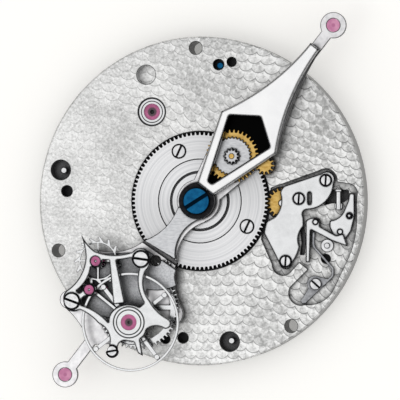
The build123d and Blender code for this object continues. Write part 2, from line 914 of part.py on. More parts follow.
# Train on the hand side
hand_wheel_thickness = 0.16
steel_wheel_radius = 2.1
steel_wheel_teeth = 32
steel_tooth_height = 0.2
stack_gap = 0.06
leaf_count = 12
leaf_outer_radius = 0.92
leaf_root_radius = 0.62
leaf_height = 0.35
stud_head_radius = 0.28


def toothed_disc(point, teeth, tip, root, phase=0):
    """A plain toothed outline that meets no other wheel."""
    step = 360 / teeth
    corners = []
    for number in range(teeth):
        for radius, turn_share in ((root, -root_half_share), (tip, -tip_half_share),
                                   (tip, tip_half_share), (root, root_half_share)):
            corners.append(polar(point, radius, phase + (number + turn_share) * step))
    return make_face(Polyline(corners, close=True))


def build_hand_wheel():
    """The brass wheel in the window."""
    face = gear_face(hand_wheel_spot, hand_wheel_teeth, hand_wheel_phase)
    face -= circle_at(hand_wheel_spot, stud_radius + running_gap)
    return slab(face, upper_gear_low, upper_gear_low + hand_wheel_thickness)


def build_hand_steel_wheel():
    """The steel wheel on the brass one, with the twelve-leaf pinion above it."""
    low = upper_gear_low + hand_wheel_thickness
    high = low + hand_wheel_thickness
    face = toothed_disc(hand_wheel_spot, steel_wheel_teeth, steel_wheel_radius,
                        steel_wheel_radius - steel_tooth_height)
    wheel = slab(face, low, high)
    leaves = toothed_disc(hand_wheel_spot, leaf_count, leaf_outer_radius, leaf_root_radius)
    wheel += slab(leaves, high, high + leaf_height)
    return wheel - disc(hand_wheel_spot, stud_radius + running_gap, low, high + leaf_height)


def build_hand_drive_pinion():
    """Two pinions on one arbor, which carry the centre wheel's motion up to the brass wheel."""
    face = gear_face(hand_drive_spot, hand_drive_teeth, hand_drive_phase)
    pinion = slab(face, pinion_low, arm_low - wide_gap)
    pinion += disc(hand_drive_spot, arbor_radius, arm_low - wide_gap, upper_gear_low)
    return pinion + slab(face, upper_gear_low, upper_gear_top)


def stud(point, top, head_radius=stud_head_radius):
    """A fixed stud on the arm with a flat head that keeps its wheel down."""
    return disc(point, stud_radius, arm_top, top) + disc(point, head_radius, top, top + stack_gap)


def build_hand_stud():
    top = upper_gear_low + 2 * hand_wheel_thickness + leaf_height + running_gap
    return stud(hand_wheel_spot, top)


# Train and escapement on the tail side
def build_drive_pinion():
    face = gear_face(drive_spot, drive_teeth, drive_phase)
    pinion = slab(face, pinion_low, arm_low - wide_gap)
    pinion += disc(drive_spot, arbor_radius, arm_low - wide_gap, upper_gear_low)
    return pinion + slab(face, upper_gear_low, upper_gear_top)


large_rim_width = 0.62
large_hub_radius = 1.0
large_arm_width = 0.5
large_arm_count = 5


def build_large_wheel():
    face = gear_face(large_spot, large_teeth, large_phase)
    inner = root_radius(large_teeth) - large_rim_width
    face -= crossings(large_spot, inner, large_hub_radius, large_arm_width, large_arm_count, 0)
    face -= circle_at(large_spot, stud_radius + running_gap)
    return slab(face, upper_gear_low, upper_gear_top)


def build_train_studs():
    top = upper_gear_top + running_gap
    return [stud(large_spot, top), stud(idler_spot, top)]


def build_idler_pinion():
    face = gear_face(idler_spot, idler_teeth, idler_phase) - circle_at(idler_spot, stud_radius + running_gap)
    return slab(face, upper_gear_low, upper_gear_top)


escape_wheel_low = cock_top + fork_lift
escape_wheel_thickness = 0.12
escape_hook_share = 0.55
escape_root_share = 0.8


def build_escape_wheel():
    """The club-toothed escape wheel with its pinion and pivots."""
    corners = []
    step = 360 / escape_wheel_teeth
    root = escape_wheel_radius * escape_root_share
    for number in range(escape_wheel_teeth):
        start = number * step
        corners.append(polar(escape_spot, root, start))
        corners.append(polar(escape_spot, escape_wheel_radius, start + escape_hook_share * step))
        corners.append(polar(escape_spot, escape_wheel_radius - small_bevel,
                             start + (1 - escape_hook_share / 2) * step))
        corners.append(polar(escape_spot, root, start + escape_hook_share * step))
    face = make_face(Polyline(corners, close=True))
    opening = root - small_bevel
    face -= crossings(escape_spot, opening - wide_gap, staff_radius * 2, staff_radius, 4, 0)
    wheel = slab(face, escape_wheel_low, escape_wheel_low + escape_wheel_thickness)
    wheel += disc(escape_spot, staff_radius, upper_gear_top, star_low - wide_gap)
    wheel += disc(escape_spot, staff_pivot_radius, arm_low, upper_gear_low)
    wheel += disc(escape_spot, staff_pivot_radius, star_low - wide_gap, star_low + star_thickness / 2)
    return wheel + slab(gear_face(escape_spot, escape_pinion_teeth, escape_phase), upper_gear_low,
                        upper_gear_top)


fork_pivot_px = (90.6, 289.2)
fork_spot = spot(*fork_pivot_px, cock_top)
fork_hub_radius = 0.42
fork_arm_width = 0.34
fork_lever_width = 0.3
fork_horn_gap = 0.32
fork_horn_length = 0.6
pallet_spread = 30
pallet_gap = 0.2
pallet_length = 0.42
pallet_width = 0.3


def build_pallet_fork():
    """The pallet fork: two arms to the escape wheel, and a lever with a notch to the roller."""
    to_escape = degrees(atan2(escape_spot[1] - fork_spot[1], escape_spot[0] - fork_spot[0]))
    to_balance = degrees(atan2(balance_spot[1] - fork_spot[1], balance_spot[0] - fork_spot[0]))
    reach = hypot(balance_spot[0] - fork_spot[0], balance_spot[1] - fork_spot[1]) - roller_radius / 2
    face = circle_at(fork_spot, fork_hub_radius)
    lever_end = polar(fork_spot, reach - fork_horn_length, to_balance)
    face += bar(fork_spot, lever_end, fork_lever_width)
    for side in (-1, 1):
        stone = polar(escape_spot, escape_wheel_radius + pallet_gap + pallet_length / 2,
                      to_escape + 180 + side * pallet_spread)
        face += bar(fork_spot, stone, fork_arm_width)
        face += circle_at(stone, pallet_width / 2)
        horn_start = polar(lever_end, side * fork_horn_gap, to_balance + 90)
        horn_end = polar(horn_start, fork_horn_length, to_balance)
        face += bar(lever_end, horn_start, fork_lever_width / 2)
        face += bar(horn_start, horn_end, fork_lever_width / 2)
    face += circle_at(lever_end, fork_horn_gap)
    fork = slab(face, escape_wheel_low, escape_wheel_low + fork_thickness)
    fork += disc(fork_spot, staff_radius, cock_top + running_gap, escape_wheel_low)
    fork += disc(fork_spot, staff_radius, escape_wheel_low + fork_thickness, star_low - wide_gap)
    fork += disc(fork_spot, staff_pivot_radius, cock_low, cock_top + running_gap)
    return fork + disc(fork_spot, staff_pivot_radius, star_low - wide_gap, star_low + star_thickness / 2)


def build_pallet_stones():
    """The two ruby faces at the ends of the fork's arms."""
    to_escape = degrees(atan2(escape_spot[1] - fork_spot[1], escape_spot[0] - fork_spot[0]))
    stones = []
    for side in (-1, 1):
        place = polar(escape_spot, escape_wheel_radius + pallet_gap + pallet_length / 2,
                      to_escape + 180 + side * pallet_spread)
        low = escape_wheel_low + fork_thickness
        stones.append(disc(place, pallet_width / 2, low, low + small_bevel))
    return stones


escapement_plate_outline_px = [
    (136.0, 252.0),
    (143.0, 247.5),
    (176.0, 269.5),
    (174.5, 277.0, 176.5, 285.0),
    (160.0, 290.0, 146.0, 289.0),
    (143.0, 325.0),
    (136.0, 333.0, 125.0, 331.0),
    (108.0, 318.0),
    (78.0, 309.5),
    (62.5, 306.0, 64.0, 295.0),
    (84.0, 275.0),
    (88.0, 254.0),
]


def build_escapement_plate():
    """The lower plate of the escapement, between its two pairs of pillars."""
    face = photo_outline(escapement_plate_outline_px, cock_top)
    for point in star_screw_spots[:2]:
        face += circle_at(point, pillar_radius + wide_gap)
    face -= circle_at(escape_spot, tip_radius(escape_pinion_teeth) + wide_gap)
    face -= circle_at(fork_spot, staff_pivot_radius + running_gap)
    face -= circle_at(balance_spot, staff_pivot_radius + running_gap)
    face -= circle_at(spot(*platform_hole_px[:2], cock_top), size(platform_hole_px[2]))
    return slab(face, cock_low, cock_top)


def build_lower_pillars():
    return [disc(point, pillar_radius, arm_top, cock_low) for point in star_screw_spots[:2]]


def build_upper_pillars():
    return [disc(point, pillar_radius, cock_top, star_low) for point in star_screw_spots[:2]]


# Balance
rim_low = cock_top + rim_lift
roller_lift = 0.06
roller_low = escape_wheel_low + fork_thickness + roller_lift
balance_arm_phase = 38


def build_balance_wheel():
    face = circle_at(balance_spot, balance_radius) - circle_at(balance_spot, balance_radius - rim_width)
    arms = circle_at(balance_spot, balance_hub_radius)
    for number in range(balance_arm_count):
        end = polar(balance_spot, balance_radius - rim_width / 2,
                    balance_arm_phase + number * 360 / balance_arm_count)
        arms += bar(balance_spot, end, balance_arm_width)
    wheel = slab(face, rim_low, rim_low + rim_thickness)
    wheel += slab(arms, rim_low + wide_gap, rim_low + rim_thickness - wide_gap / 2)
    return wheel - disc(balance_spot, staff_radius + seat_gap, rim_low, rim_low + rim_thickness)


def build_balance_weights():
    """The inertia weights inside the rim, standing on the four arms."""
    weights = []
    for number in range(balance_arm_count):
        angle = balance_arm_phase + number * 360 / balance_arm_count
        place = polar(balance_spot, balance_radius - rim_width - weight_radius - seat_gap, angle)
        low = rim_low + rim_thickness - wide_gap / 2
        weights.append(disc(place, weight_radius, low, low + wide_gap))
    return weights


def build_balance_staff():
    staff = disc(balance_spot, staff_radius, cock_top + running_gap, star_low - wide_gap)
    staff += disc(balance_spot, staff_pivot_radius, cock_low, cock_top + running_gap)
    return staff + disc(balance_spot, staff_pivot_radius, star_low - wide_gap, star_low + star_thickness / 2)


def build_roller():
    return tube(balance_spot, roller_radius, staff_radius + seat_gap, roller_low,
                roller_low + roller_thickness)


def build_hairspring():
    """The flat spiral of half-turn arcs, from the collet on the staff to its outer end."""
    low = cock_top + hairspring_lift
    x, y = balance_spot
    middle_z = low + hairspring_height / 2
    radius = hairspring_inner_radius
    start = Vector(x + radius, y, middle_z)
    edges = []
    side = 1
    for number in range(hairspring_half_turns):
        end = Vector(start.X - side * 2 * radius, y, middle_z)
        top = Vector((start.X + end.X) / 2, y + side * radius, middle_z)
        edges.append(ThreePointArc(start, top, end))
        start = end
        radius += hairspring_step
        side = -side
    path = Wire(edges)
    section_plane = Plane(origin=path @ 0, x_dir=(0, 0, 1), z_dir=path % 0)
    spring = sweep(section_plane * Rectangle(hairspring_height, hairspring_thickness), path=path)
    collet = tube(balance_spot, hairspring_inner_radius + hairspring_thickness / 2,
                  staff_radius + seat_gap, low, low + hairspring_height)
    print("hairspring gap", round(2 * hairspring_step - hairspring_thickness, 3))
    return spring + collet


# Balance bridge
star_jewel_radius = 0.5
star_boss_radius = 0.72
balance_jewel_radius = 0.85
balance_setting_radius = 1.3
star_hub_radius = 1.8
spine_wide = 0.62
spine_narrow = 0.34
spine_ends_px = [(118.5, 303.0), (111.5, 256.0)]


def spine_face():
    """The plain tapered spine from the bridge's hub to its upper edge."""
    start = spot(*spine_ends_px[0], star_top)
    end = spot(*spine_ends_px[1], star_top)
    turn = degrees(atan2(end[1] - start[1], end[0] - start[0]))
    return make_face(
        Polyline(
            [
                polar(start, spine_wide, turn + 90),
                polar(end, spine_narrow, turn + 90),
                polar(end, spine_narrow, turn - 90),
                polar(start, spine_wide, turn - 90),
            ],
            close=True,
        )
    )


star_outline_px = [
    (80.4, 235.2),
    (87.0, 244.6, 94.0, 251.0),
    (108.0, 254.4, 132.5, 251.4),
    (141.0, 247.5, 149.4, 258.0),
    (149.6, 263.5, 145.4, 270.0),
    (143.0, 285.0, 149.5, 300.0),
    (157.0, 310.0, 167.6, 317.6),
    (170.5, 324.0, 164.5, 327.6),
    (154.0, 325.0, 146.0, 328.5),
    (144.0, 334.0, 139.4, 338.0),
    (142.3, 354.4),
    (137.6, 352.0),
    (133.6, 341.0),
    (124.0, 339.5),
    (119.0, 342.0, 118.0, 351.0),
    (111.4, 357.0, 105.0, 351.0),
    (108.0, 333.0, 97.5, 322.5),
    (88.0, 314.0, 78.5, 309.0),
    (66.0, 308.0, 62.0, 299.0),
    (62.8, 293.5, 66.2, 289.6),
    (81.0, 272.0, 84.8, 256.0),
    (83.6, 247.0, 80.4, 235.2),
]
star_window_px = [
    (90.0, 258.0),
    (110.0, 259.8, 131.0, 257.4),
    (133.5, 264.0, 139.0, 268.0),
    (137.8, 286.0, 144.0, 302.0),
    (139.0, 306.5),
    (128.4, 303.6, 117.0, 306.5),
    (110.5, 312.0, 108.0, 322.0),
    (95.0, 311.0, 79.5, 304.5),
    (80.5, 297.5, 75.0, 290.5),
    (88.0, 274.0, 90.0, 258.0),
]


def star_face():
    """The bridge's outline with its curved points, and the wide opening that leaves slim arms."""
    face = photo_outline(star_outline_px, star_top)
    window = photo_outline(star_window_px, star_top)
    return face - window


fork_brace_px = (76.0, 298.0)
escape_brace_px = (91.0, 252.5)
fork_brace_width = 0.6


def build_balance_bridge():
    face = star_face() + spine_face()
    for point in (escape_spot, fork_spot):
        face += circle_at(point, star_boss_radius)
    fork_arm_end = spot(*fork_brace_px, star_top)
    face += bar(fork_spot, fork_arm_end, fork_brace_width)
    face += bar(escape_spot, spot(*escape_brace_px, star_top), fork_brace_width)
    for point in (escape_spot, fork_spot):
        face -= circle_at(point, star_jewel_radius + seat_gap)
    face -= circle_at(balance_spot, balance_jewel_radius + seat_gap)
    bridge = slab(face, star_low, star_top)
    for point, radius in zip(star_screw_spots, star_screw_head_radii):
        bridge -= disc(point, radius + screw_ring_gap, star_top - sunk_depth, star_top)
    return bridge


def build_balance_bridge_screws():
    seat = star_top - sunk_depth
    rows = zip(star_screw_spots, star_screw_head_radii, star_screw_slot_angles)
    return [screw(point, radius, seat, angle) for point, radius, angle in rows]


def build_bridge_jewels():
    return [
        tube(point, star_jewel_radius, staff_pivot_radius + running_gap, star_low, star_top - small_bevel)
        for point in (escape_spot, fork_spot)
    ]


def build_balance_jewel():
    return tube(balance_spot, balance_jewel_radius, staff_pivot_radius + running_gap, star_low, star_top)


def build_balance_jewel_setting():
    """The raised ring of the shock setting round the balance jewel."""
    ring = tube(balance_spot, balance_setting_radius, balance_jewel_radius, star_top, star_top + small_bevel)
    return ring + tube(balance_spot, star_hub_radius - wide_gap, balance_setting_radius, star_top,
                       star_top + small_bevel / 2)


pieces = {
    "main_plate": build_main_plate(),
    "back_cover": build_back_cover(),
    "back_cover_screws": build_back_cover_screws(),
    "barrel_drum": build_barrel_drum(),
    "barrel_lid": build_barrel_lid(),
    "mainspring": build_mainspring(),
    "plate_jewel": build_plate_jewel(),
    "plate_jewel_setting": build_plate_jewel_setting(),
    "sunk_pins": build_sunk_pins(),
    "blued_pin": build_blued_pin(),
    "centre_wheel": build_centre_wheel(),
    "centre_hub": build_centre_hub(),
    "centre_wheel_screws": build_centre_wheel_screws(),
    "setting_wheel": build_setting_wheel(),
    "setting_stud": build_setting_stud(),
    "setting_bridge": build_setting_bridge(),
    "setting_bridge_screws": build_setting_bridge_screws(),
    "rocker_lever": build_rocker_lever(),
    "index_lever": build_index_lever(),
    "lever_posts": build_lever_posts(),
    "lever_spring": build_lever_spring(),
    "lever_spring_screw": build_spring_screw(),
    "adjusting_screw": build_adjusting_screw(),
    "carousel_arm": build_carousel_arm(),
    "hand_ruby": build_ring_ruby(hand_ring_spot),
    "tail_ruby": build_ring_ruby(tail_ring_spot),
    "hand_tail": build_hand_tail(),
    "centre_collar": build_centre_collar(),
    "centre_arbor": build_centre_arbor(),
    "centre_screw": build_centre_screw(),
    "hand_cover": build_hand_cover(),
    "hand_well": build_hand_well(),
    "hand_wheel": build_hand_wheel(),
    "hand_steel_wheel": build_hand_steel_wheel(),
    "hand_stud": build_hand_stud(),
    "hand_drive_pinion": build_hand_drive_pinion(),
    "drive_pinion": build_drive_pinion(),
    "large_wheel": build_large_wheel(),
    "train_studs": build_train_studs(),
    "idler_pinion": build_idler_pinion(),
    "escape_wheel": build_escape_wheel(),
    "pallet_fork": build_pallet_fork(),
    "pallet_stones": build_pallet_stones(),
    "escapement_plate": build_escapement_plate(),
    "lower_pillars": build_lower_pillars(),
    "upper_pillars": build_upper_pillars(),
    "balance_wheel": build_balance_wheel(),
    "balance_weights": build_balance_weights(),
    "balance_staff": build_balance_staff(),
    "roller": build_roller(),
    "hairspring": build_hairspring(),
    "balance_bridge": build_balance_bridge(),
    "balance_bridge_screws": build_balance_bridge_screws(),
    "bridge_jewels": build_bridge_jewels(),
    "balance_jewel": build_balance_jewel(),
    "balance_jewel_setting": build_balance_jewel_setting(),
}

for name, piece in pieces.items():
    solid = Compound(children=piece) if isinstance(piece, list) else piece
    export_step(solid, f"parts/{name}.step")
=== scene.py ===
from math import cos, radians, sin

import bpy
from mathutils import Euler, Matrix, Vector


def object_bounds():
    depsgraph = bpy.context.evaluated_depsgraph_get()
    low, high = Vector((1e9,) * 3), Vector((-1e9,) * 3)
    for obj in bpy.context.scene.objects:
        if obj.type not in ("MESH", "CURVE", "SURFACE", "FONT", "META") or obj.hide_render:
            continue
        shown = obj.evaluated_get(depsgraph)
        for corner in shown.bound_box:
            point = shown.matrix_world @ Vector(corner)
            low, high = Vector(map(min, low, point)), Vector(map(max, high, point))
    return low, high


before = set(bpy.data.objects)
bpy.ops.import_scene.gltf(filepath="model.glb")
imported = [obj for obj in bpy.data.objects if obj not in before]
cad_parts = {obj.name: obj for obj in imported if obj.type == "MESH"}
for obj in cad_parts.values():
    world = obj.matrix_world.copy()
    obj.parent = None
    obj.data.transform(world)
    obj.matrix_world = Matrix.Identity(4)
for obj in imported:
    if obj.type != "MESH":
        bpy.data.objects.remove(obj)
cadLow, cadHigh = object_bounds()
millimetre = 0.001
print("frame loaded:", len(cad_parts), "nodes")


def toLinear(hexColour):
    channels = [int(hexColour[i:i + 2], 16) / 255 for i in (1, 3, 5)]
    linear = [c / 12.92 if c <= 0.04045 else ((c + 0.055) / 1.055) ** 2.4 for c in channels]
    return (*linear, 1.0)


def addNode(tree, kind, settings=None, links=None):
    # settings are node attributes or input values, links map an input to another node's output
    node = tree.nodes.new(kind)
    for key, value in (settings or {}).items():
        if isinstance(key, str) and hasattr(node, key):
            setattr(node, key, value)
        else:
            node.inputs[key].default_value = value
    for key, source in (links or {}).items():
        tree.links.new(source, node.inputs[key])
    return node


def newMaterial(name, look):
    material = bpy.data.materials.new(name)
    material.use_nodes = True
    tree = material.node_tree
    shader = next(n for n in tree.nodes if n.type == "BSDF_PRINCIPLED")
    shader.inputs["Base Color"].default_value = toLinear(look["colour"])
    shader.inputs["Metallic"].default_value = look["metallic"]
    shader.inputs["Roughness"].default_value = look["roughness"]
    return material, tree, shader


def perMillimetre(size):
    # texture scale that gives one pattern step per size in mm, with coordinates in metres
    return 1 / (size * millimetre)


def wear(nodeNames, material):
    for name in nodeNames:
        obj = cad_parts[name]
        if not obj.data.materials:
            obj.data.materials.append(material)
        for slot in obj.material_slots:
            slot.material = material


# What all finished metal parts share. Sizes are in mm.
# The starts and ends are shares of open space round a point
edgeLook = {
    "metallic": 1.0,
    "edgeShadeStart": 0.76,
    "edgeShadeEnd": 0.95,
    "gapReach": 0.35,
    "gapStart": 0.45,
    "gapEnd": 0.9,
    "wallBelow": 0.3,
    "flatAbove": 0.8,
    "scratchDepth": 0.01,
    "samples": 8,
}


def paintedShadeAndGrainBump(tree, shader, look, colourSource, heightSource, keptBright=None):
    # every edge of a finished watch part is bevelled by hand and mirrors the dark sides of the room; that dark
    # is painted near each edge as painted shade, and the grain is a bump
    bump = addNode(tree, "ShaderNodeBump",
                   {"Strength": look["grainDepth"], "Distance": look["scratchDepth"] * millimetre},
                   {"Height": heightSource})
    nearEdge = addNode(tree, "ShaderNodeAmbientOcclusion",
                       {"samples": look["samples"], "inside": True, "only_local": True,
                        "Distance": look["edgeShadeReach"] * millimetre})
    onFlat = addNode(tree, "ShaderNodeMapRange", {"From Min": look["edgeShadeStart"], "From Max": look["edgeShadeEnd"]},
                     {"Value": nearEdge.outputs["AO"]})
    # upright walls are painted darker, as painted shade where they mirror the dark room
    surface = addNode(tree, "ShaderNodeNewGeometry")
    upright = addNode(tree, "ShaderNodeSeparateXYZ", {}, {0: surface.outputs["Normal"]})
    level = addNode(tree, "ShaderNodeMapRange",
                    {"From Min": look["wallBelow"], "From Max": look["flatAbove"],
                     "To Min": 1 - look["wallShade"]},
                    {"Value": upright.outputs["Z"]})
    lightest = addNode(tree, "ShaderNodeMath", {"operation": "MULTIPLY"},
                       {0: onFlat.outputs[0], 1: level.outputs[0]})
    # narrow gaps between parts mirror each other, and their shade is painted in, so they read as dark lines
    openness = addNode(tree, "ShaderNodeAmbientOcclusion",
                       {"samples": look["samples"], "Distance": look["gapReach"] * millimetre})
    clear = addNode(tree, "ShaderNodeMapRange", {"From Min": look["gapStart"], "From Max": look["gapEnd"]},
                    {"Value": openness.outputs["AO"]})
    openHere = clear.outputs[0]
    if keptBright is not None:
        brightFlat = addNode(tree, "ShaderNodeMath", {"operation": "MULTIPLY"},
                             {0: keptBright, 1: level.outputs[0]})
        kept = addNode(tree, "ShaderNodeMath", {"operation": "MAXIMUM"},
                       {0: openHere, 1: brightFlat.outputs[0]})
        openHere = kept.outputs[0]
    lit = addNode(tree, "ShaderNodeMath", {"operation": "MULTIPLY"}, {0: lightest.outputs[0], 1: openHere})
    shade = addNode(tree, "ShaderNodeMix", {"data_type": "RGBA", 6: toLinear(look["paintedShadeColour"])},
                    {0: lit.outputs[0], 7: colourSource})
    tree.links.new(shade.outputs[2], shader.inputs["Base Color"])
    tree.links.new(bump.outputs[0], shader.inputs["Normal"])


# Main plate: brass with rhodium plating, pearled by a rotating peg set down in overlapping rows.
# The ringed scratches of a spot throw the light back in opposite sectors, so each is part bright, part grey: a
# painted sheen.
# The scratches are finer than a picture point, and their grain is drawn coarser, so that it still shows.
# Sizes are in mm, the spot's reach and arc in steps between spots
plateLook = {
    **edgeLook,
    "colour": "#EEEEED",
    "darkColour": "#9C9C9B",
    "arcColour": "#505051",
    "pocketShadeColour": "#9A9A9B",
    "paintedShadeColour": "#252526",
    "roughness": 0.32,
    "edgeShadeReach": 0.10,
    "wallShade": 0.6,
    "gapStart": 0.25,
    "gapReach": 1.5,
    "spotStep": 1.38,
    "rowStep": 0.92,
    "rowTurn": 14,
    "waver": 0.42,
    "waverSize": 14.0,
    "spotReach": 0.62,
    "arcFrom": 0.55,
    "arcTo": 0.58,
    "arcStrength": 0.85,
    "spotContrast": 0.32,
    "spotSlope": 2.0,
    "spotChance": 1.2,
    "grainSize": 0.26,
    "grainContrast": 1.5,
    "grainDepth": 0.15,
    "cloudSize": 4.5,
    "arcFadesBelow": 0.30,
    "arcFullAbove": 0.55,
    "grazeLeft": -18,
    "grazeRight": 13,
    "grazeLeast": 0.14,
    "grazeShade": 0.30,
    "toneBelow": 0.6,
    "toneAbove": 0.4,
    "pocketShadeBelow": 2.92,
    "palePocket": (-5.88, 13.47),
    "palePocketSize": 1.3,
}


def pearledPlate():
    look = plateLook
    material, tree, shader = newMaterial("rhodiumPlatedPearledBrass", look)
    place = addNode(tree, "ShaderNodeTexCoord")

    # the rows waver a little, as they were laid by hand
    drift = addNode(tree, "ShaderNodeTexNoise", {"Scale": perMillimetre(look["waverSize"]), "Detail": 0.0},
                    {"Vector": place.outputs["Object"]})
    centred = addNode(tree, "ShaderNodeVectorMath", {"operation": "SUBTRACT", 1: (0.5, 0.5, 0.5)},
                      {0: drift.outputs["Color"]})
    shift = addNode(tree, "ShaderNodeVectorMath",
                    {"operation": "SCALE", "Scale": look["waver"] * look["waverSize"] * millimetre},
                    {0: centred.outputs[0]})
    moved = addNode(tree, "ShaderNodeVectorMath", {"operation": "ADD"},
                    {0: place.outputs["Object"], 1: shift.outputs[0]})
    turned = addNode(tree, "ShaderNodeMapping", {"Rotation": (0, 0, radians(look["rowTurn"]))},
                     {"Vector": moved.outputs[0]})
    perStep = (perMillimetre(look["spotStep"]), perMillimetre(look["rowStep"]), 0)
    rows = addNode(tree, "ShaderNodeVectorMath", {"operation": "MULTIPLY", 1: perStep}, {0: turned.outputs[0]})
    sides = addNode(tree, "ShaderNodeSeparateXYZ", {}, {0: rows.outputs[0]})
    inRow = addNode(tree, "ShaderNodeMath", {"operation": "FRACT"}, {0: sides.outputs["Y"]})
    rowNumber = addNode(tree, "ShaderNodeMath", {"operation": "FLOOR"}, {0: sides.outputs["Y"]})
    halfShift = addNode(tree, "ShaderNodeMath", {"operation": "MULTIPLY", 1: 0.5}, {0: rowNumber.outputs[0]})
    offsets = []
    for rowUp in (1, 0):  # the next row up was set down later, so it lies over this one
        along = addNode(tree, "ShaderNodeMath", {"operation": "ADD", 1: 0.5 * rowUp}, {0: halfShift.outputs[0]})
        slid = addNode(tree, "ShaderNodeMath", {"operation": "ADD"},
                       {0: sides.outputs["X"], 1: along.outputs[0]})
        within = addNode(tree, "ShaderNodeMath", {"operation": "FRACT"}, {0: slid.outputs[0]})
        fromMiddle = addNode(tree, "ShaderNodeMath", {"operation": "SUBTRACT", 1: 0.5}, {0: within.outputs[0]})
        upward = addNode(tree, "ShaderNodeMath", {"operation": "SUBTRACT", 1: float(rowUp)},
                         {0: inRow.outputs[0]})
        offsets.append(addNode(tree, "ShaderNodeCombineXYZ", {},
                               {0: fromMiddle.outputs[0], 1: upward.outputs[0]}))

    # each point belongs to the upper spot where that reaches it, and otherwise to its own row's spot
    trueSides = (1.0, look["rowStep"] / look["spotStep"], 1.0)
    upper = addNode(tree, "ShaderNodeVectorMath", {"operation": "MULTIPLY", 1: trueSides},
                    {0: offsets[0].outputs[0]})
    upperReach = addNode(tree, "ShaderNodeVectorMath", {"operation": "LENGTH"}, {0: upper.outputs[0]})
    useUpper = addNode(tree, "ShaderNodeMath", {"operation": "LESS_THAN", 1: look["spotReach"]},
                       {0: upperReach.outputs["Value"]})
    offset = addNode(tree, "ShaderNodeMix", {"data_type": "VECTOR"},
                     {0: useUpper.outputs[0], 4: offsets[1].outputs[0], 5: offsets[0].outputs[0]})
    spot = addNode(tree, "ShaderNodeVectorMath", {"operation": "MULTIPLY", 1: trueSides},
                   {0: offset.outputs[1]})
    spotSides = addNode(tree, "ShaderNodeSeparateXYZ", {}, {0: spot.outputs[0]})

    # each spot gets a tone and a turn of its own, as the peg wears and the hand that guides it wavers
    middle = addNode(tree, "ShaderNodeVectorMath", {"operation": "SUBTRACT"},
                     {0: rows.outputs[0], 1: offset.outputs[1]})
    # the middles lie half a step apart, and a quarter more keeps each safely inside its own snapping box
    inside = addNode(tree, "ShaderNodeVectorMath", {"operation": "ADD", 1: (0.25, 0.25, 0.25)},
                     {0: middle.outputs[0]})
    spotNumber = addNode(tree, "ShaderNodeVectorMath", {"operation": "SNAP", 1: (0.5, 0.5, 0.5)},
                         {0: inside.outputs[0]})
    chance = addNode(tree, "ShaderNodeTexWhiteNoise", {"noise_dimensions": "3D"},
                     {"Vector": spotNumber.outputs[0]})
    angle = addNode(tree, "ShaderNodeMath", {"operation": "ARCTAN2"},
                    {0: spotSides.outputs["Y"], 1: spotSides.outputs["X"]})
    twice = addNode(tree, "ShaderNodeMath", {"operation": "MULTIPLY_ADD", 1: 2.0},
                    {0: angle.outputs[0], 2: chance.outputs["Value"]})
    fan = addNode(tree, "ShaderNodeMath", {"operation": "SINE"}, {0: twice.outputs[0]})
    grain = addNode(tree, "ShaderNodeTexNoise",
                    {"Scale": perMillimetre(look["grainSize"]), "Detail": 2.0, "Roughness": 0.7},
                    {"Vector": place.outputs["Object"]})
    cloud = addNode(tree, "ShaderNodeTexNoise", {"Scale": perMillimetre(look["cloudSize"]), "Detail": 2.0},
                    {"Vector": place.outputs["Object"]})

    # the painted sheen of the sectors shows most towards the right of the plate, where the light grazes them,
    # and there the plate is painted darker too: painted shade
    onPlate = addNode(tree, "ShaderNodeSeparateXYZ", {}, {0: place.outputs["Object"]})
    grazed = addNode(tree, "ShaderNodeMapRange",
                     {"From Min": look["grazeLeft"] * millimetre, "From Max": look["grazeRight"] * millimetre,
                      "To Min": look["grazeLeast"]},
                     {"Value": onPlate.outputs["X"]})
    # a painted sheen on each spot: lighter on one side, and bright and grey in opposite sectors; the spot's
    # random tone is added to it
    spotSheen = addNode(tree, "ShaderNodeMath", {"operation": "MULTIPLY_ADD", 1: look["spotSlope"]},
                         {0: spotSides.outputs["X"], 2: fan.outputs[0]})
    spotToneAndSheen = addNode(tree, "ShaderNodeMath", {"operation": "MULTIPLY_ADD", 1: look["spotChance"]},
                      {0: chance.outputs["Value"], 2: spotSheen.outputs[0]})
    fanHere = addNode(tree, "ShaderNodeMath", {"operation": "MULTIPLY"},
                      {0: spotToneAndSheen.outputs[0], 1: grazed.outputs[0]})
    fanned = addNode(tree, "ShaderNodeMath", {"operation": "MULTIPLY_ADD", 1: look["spotContrast"]},
                     {0: fanHere.outputs[0], 2: cloud.outputs["Fac"]})
    grainy = addNode(tree, "ShaderNodeMath", {"operation": "MULTIPLY_ADD", 1: look["grainContrast"]},
                     {0: grain.outputs["Fac"], 2: fanned.outputs[0]})
    shaded = addNode(tree, "ShaderNodeMath", {"operation": "MULTIPLY_ADD", 1: -look["grazeShade"]},
                     {0: grazed.outputs[0], 2: grainy.outputs[0]})
    # the tone of a spot near the middle of the plate: half of each noise, and about 0.6 of the graze
    middleGraze = 0.6
    middleTone = (0.5 + 0.5 * look["grainContrast"] - middleGraze * look["grazeShade"]
                  + 0.5 * middleGraze * look["spotContrast"] * look["spotChance"])
    tone = addNode(tree, "ShaderNodeMapRange",
                   {"From Min": middleTone - look["toneBelow"], "From Max": middleTone + look["toneAbove"]},
                   {"Value": shaded.outputs[0]})
    ground = addNode(tree, "ShaderNodeMix",
                     {"data_type": "RGBA", 6: toLinear(look["darkColour"]), 7: toLinear(look["colour"])},
                     {0: tone.outputs[0]})
